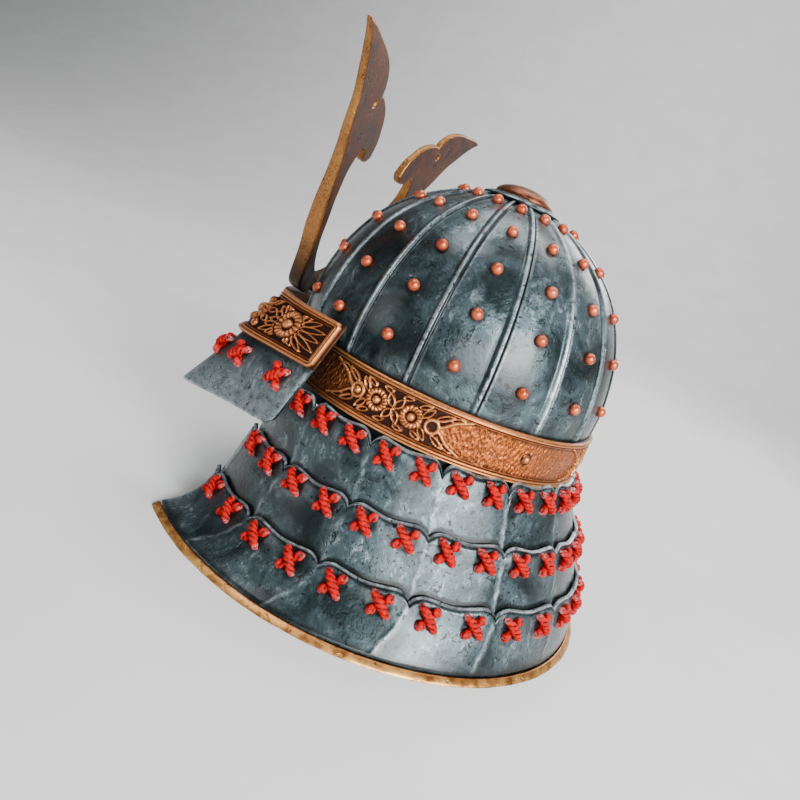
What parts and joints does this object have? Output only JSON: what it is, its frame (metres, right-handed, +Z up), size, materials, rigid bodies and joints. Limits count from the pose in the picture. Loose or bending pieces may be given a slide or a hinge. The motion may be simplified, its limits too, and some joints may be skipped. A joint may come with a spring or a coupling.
{
  "type": "samurai helmet",
  "caption": "Riveted multi-plate samurai helmet with a laced, spreading neck guard, turned-back side wings and a crest of two tall flat hooked horns.",
  "frame": {"origin": "middle of the helmet's foot: centre of the bounding box in X and Y, at the lowest face of the rim trim", "axes": "+Z up; -Y is the way the wearer looks; +X is the wearer's left"},
  "size_m": [0.3718, 0.3344, 0.3372],
  "materials": {
    "dark_steel": "dark green-grey painted steel, worn to silver on ridges and edges, satin gloss",
    "dark_plate": "dark patinated metal, satin",
    "copper": "antique copper, black in the hollows, golden on the raised work",
    "bronze": "dark brown bronze with golden worn edges"
  },
  "bodies": {
    "root": {"bowl": "dark_steel", "crown_plate": "dark_plate", "crown_dome": "copper", "band": "copper", "lame_1": "dark_steel", "lame_2": "dark_steel", "lame_3": "dark_steel", "rim_trim": "copper", "wing_ornament_left": "copper", "wing_ornament_right": "copper", "horn_left": "bronze", "horn_right": "bronze", "horn_socket": "copper", "peak": "dark_steel"}
  },
  "joints": []
}
